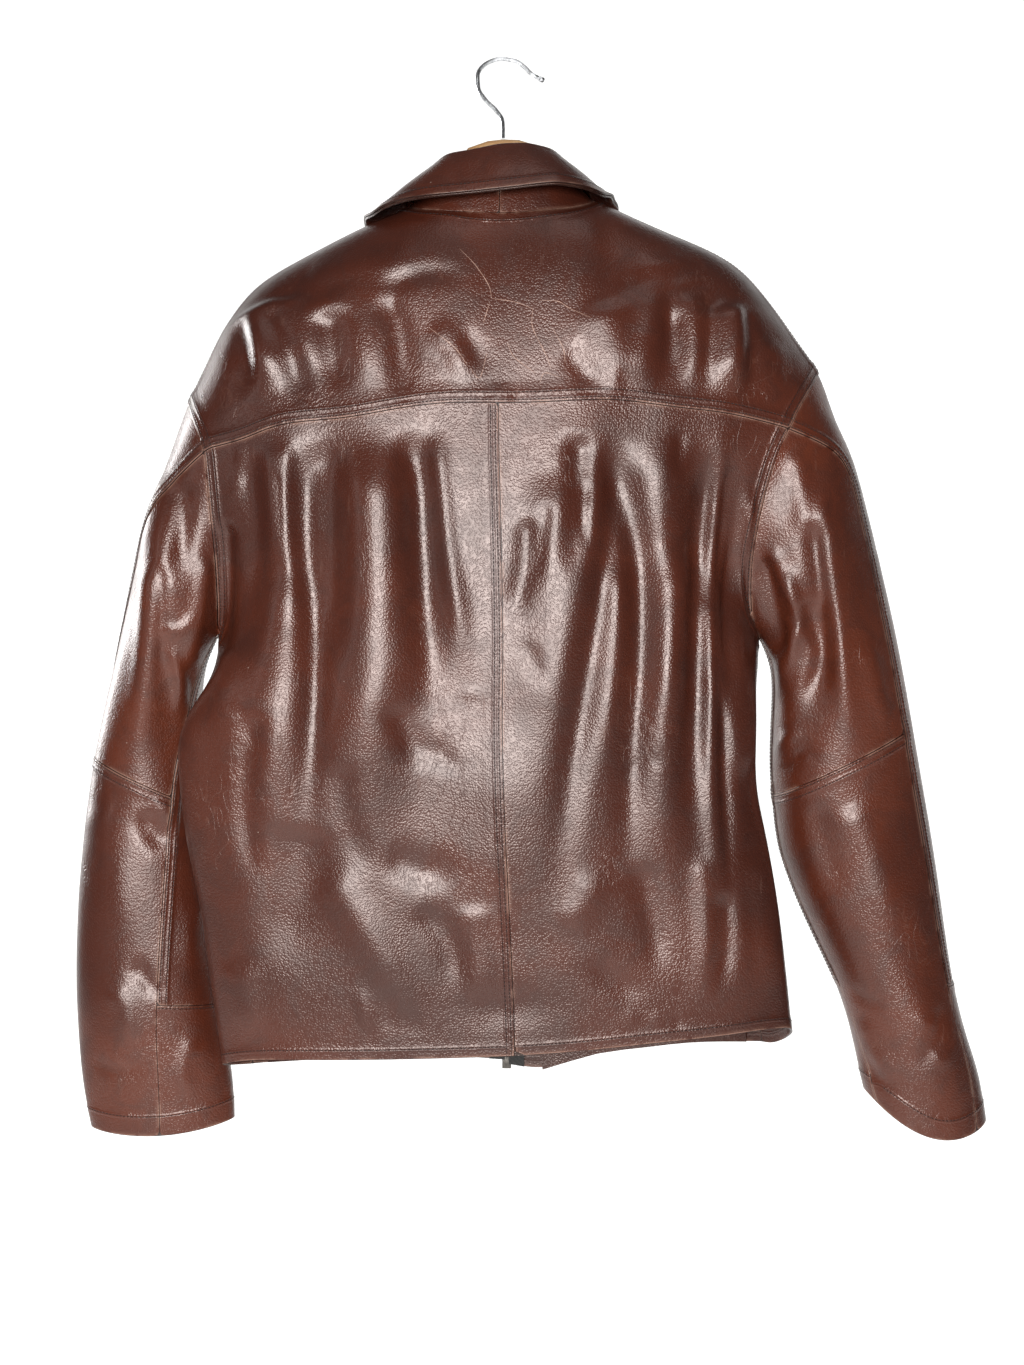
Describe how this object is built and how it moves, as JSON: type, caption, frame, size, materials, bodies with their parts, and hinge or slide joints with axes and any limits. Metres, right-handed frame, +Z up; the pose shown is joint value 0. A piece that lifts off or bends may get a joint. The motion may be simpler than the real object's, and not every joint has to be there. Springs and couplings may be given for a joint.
{
  "type": "leather jacket on a wooden hanger",
  "caption": "Worn brown leather jacket with a turned-down collar and a back yoke, zipped shut and hung on a plain wooden hanger by its steel hook.",
  "frame": {"origin": "inside top of the hanger's hook, where a rail or peg carries it", "axes": "+Z up, the back of the jacket faces -Y and its zip +Y, +X to the right when looking at the back"},
  "size_m": [0.8026, 0.1736, 0.9398],
  "materials": {
    "leather": "worn, semi gloss, pebbled grain",
    "zip_tape": "woven, matt",
    "dark_metal": "darkened, satin",
    "wood": "clear lacquer",
    "steel_wire": "polished"
  },
  "bodies": {
    "coat": {"back_left": "leather", "back_right": "leather", "back_yoke": "leather", "front_left": "leather", "front_right": "leather", "hem_facing_left": "leather", "hem_facing_right": "leather", "collar_stand_left": "leather", "collar_stand_right": "leather", "collar_fall": "leather", "collar_under": "leather", "sleeve_left_top": "leather", "sleeve_left_front_lower": "leather", "sleeve_left_back_upper": "leather", "sleeve_left_back_lower": "leather", "sleeve_right_top": "leather", "sleeve_right_front_lower": "leather", "sleeve_right_back_upper": "leather", "sleeve_right_back_lower": "leather", "zip_tape_left": "zip_tape", "zip_tape_right": "zip_tape", "zip_chain": "dark_metal", "zip_box": "dark_metal", "zip_slider": "dark_metal", "hanger_body": "wood", "hanger_hook": "steel_wire"},
    "pull_tab": {"zip_pull_tab": "dark_metal"}
  },
  "joints": [
    {"name": "pull_tab_hinge", "type": "hinge", "parent": "coat", "child": "pull_tab", "pos_m": [-0.00164, 0.06479, -0.2328], "axis": [1, 0, 0], "range_deg": [0, 120]}
  ]
}
